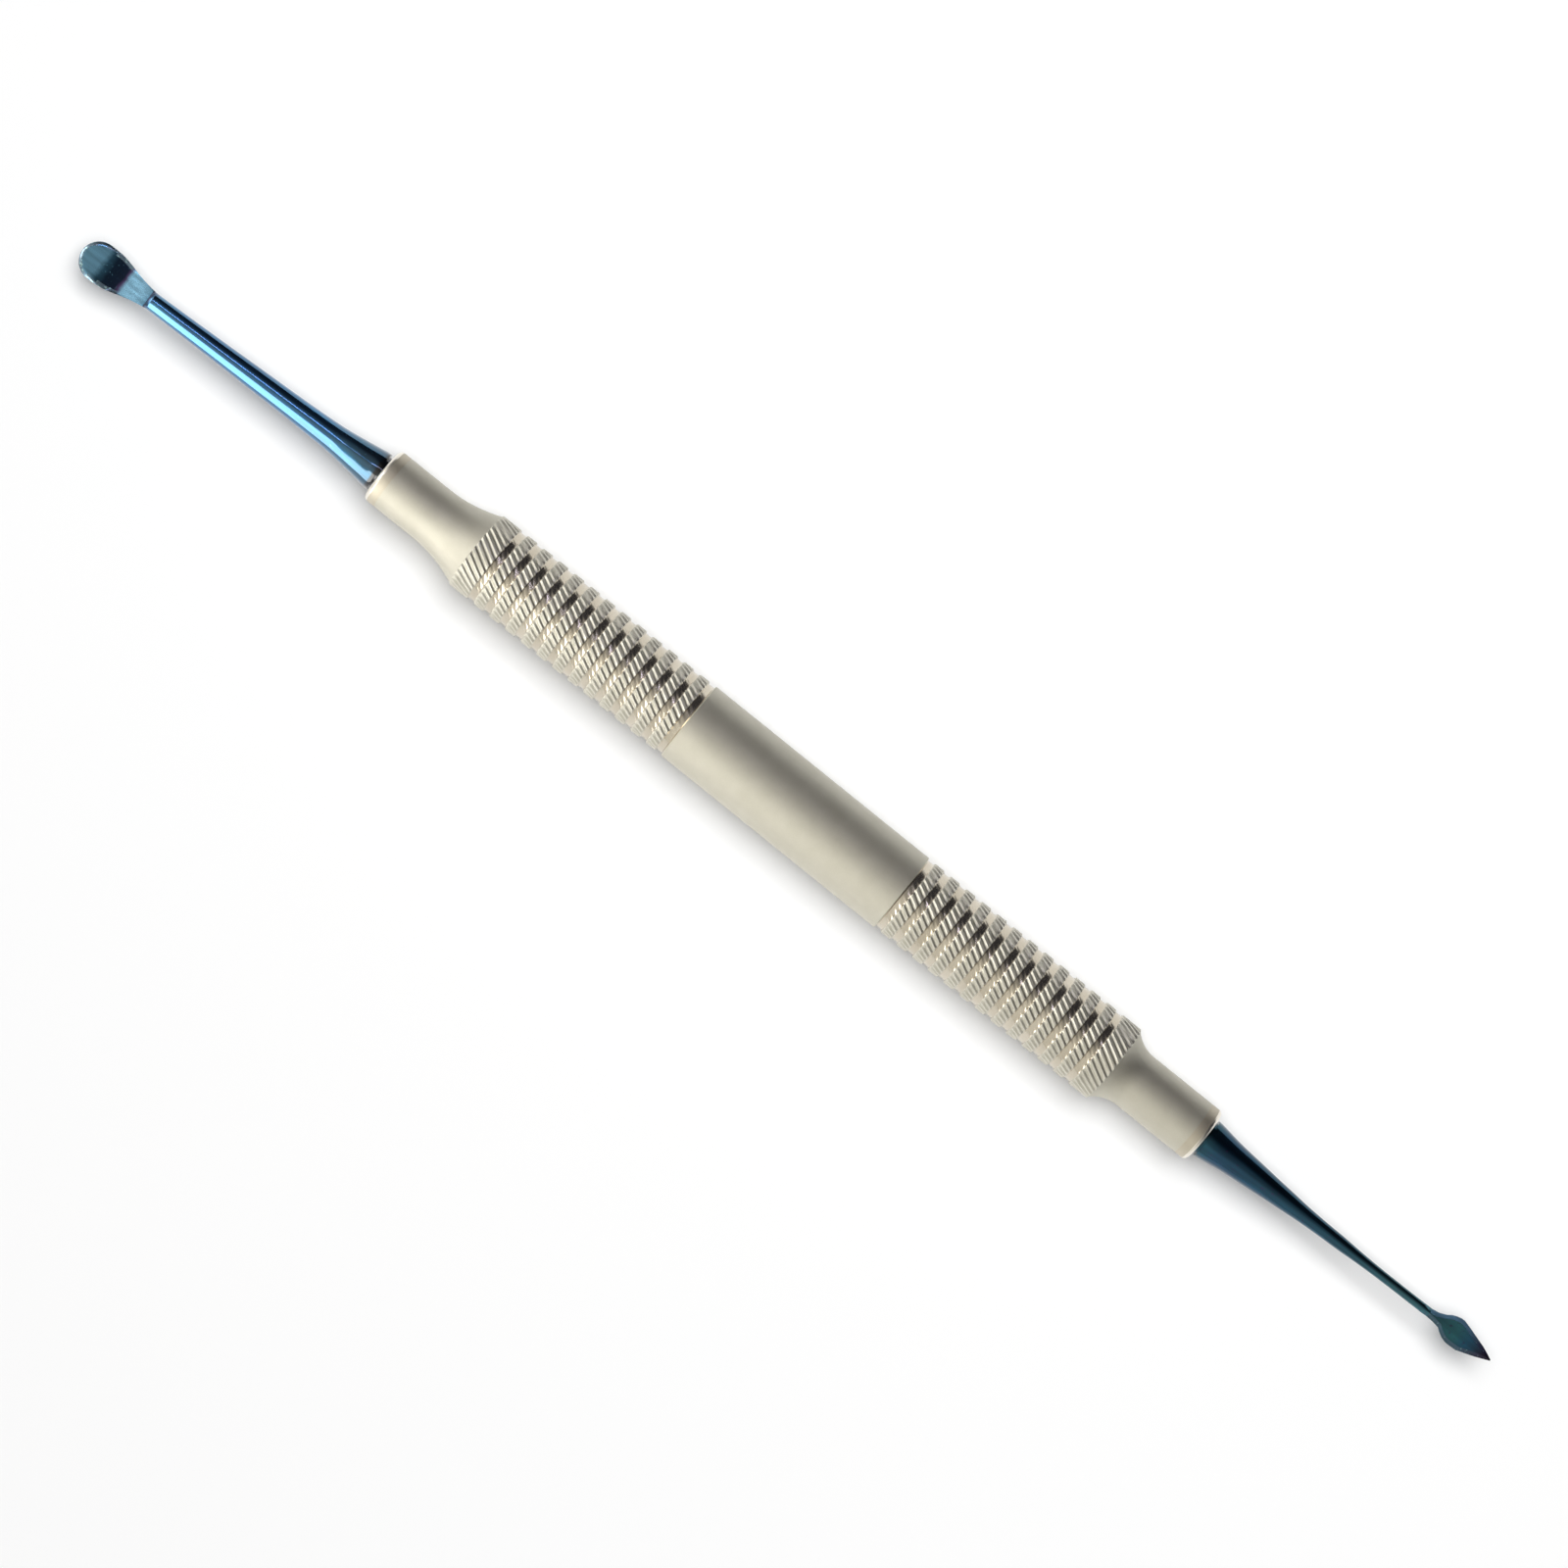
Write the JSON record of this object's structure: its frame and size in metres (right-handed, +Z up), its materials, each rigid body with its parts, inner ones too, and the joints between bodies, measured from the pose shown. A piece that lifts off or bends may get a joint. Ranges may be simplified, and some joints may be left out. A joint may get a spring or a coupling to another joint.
{
  "type": "periosteal elevator",
  "caption": "Hand instrument with a round steel handle, ring-grooved knurled grips and a blue blade at each end, one rounded and one pointed, for lifting tissue.",
  "frame": {"origin": "middle of the whole length, on the surface that the handle lies on, below the handle's axis", "axes": "+X along the instrument towards the pointed end, +Z up out of the blade faces"},
  "size_m": [0.183, 0.009, 0.009],
  "materials": {
    "satin_steel": "satin",
    "blue_anodised_titanium": "gloss"
  },
  "bodies": {
    "root": {"handle": "satin_steel", "rounded_tip": "blue_anodised_titanium", "pointed_tip": "blue_anodised_titanium"}
  },
  "joints": []
}
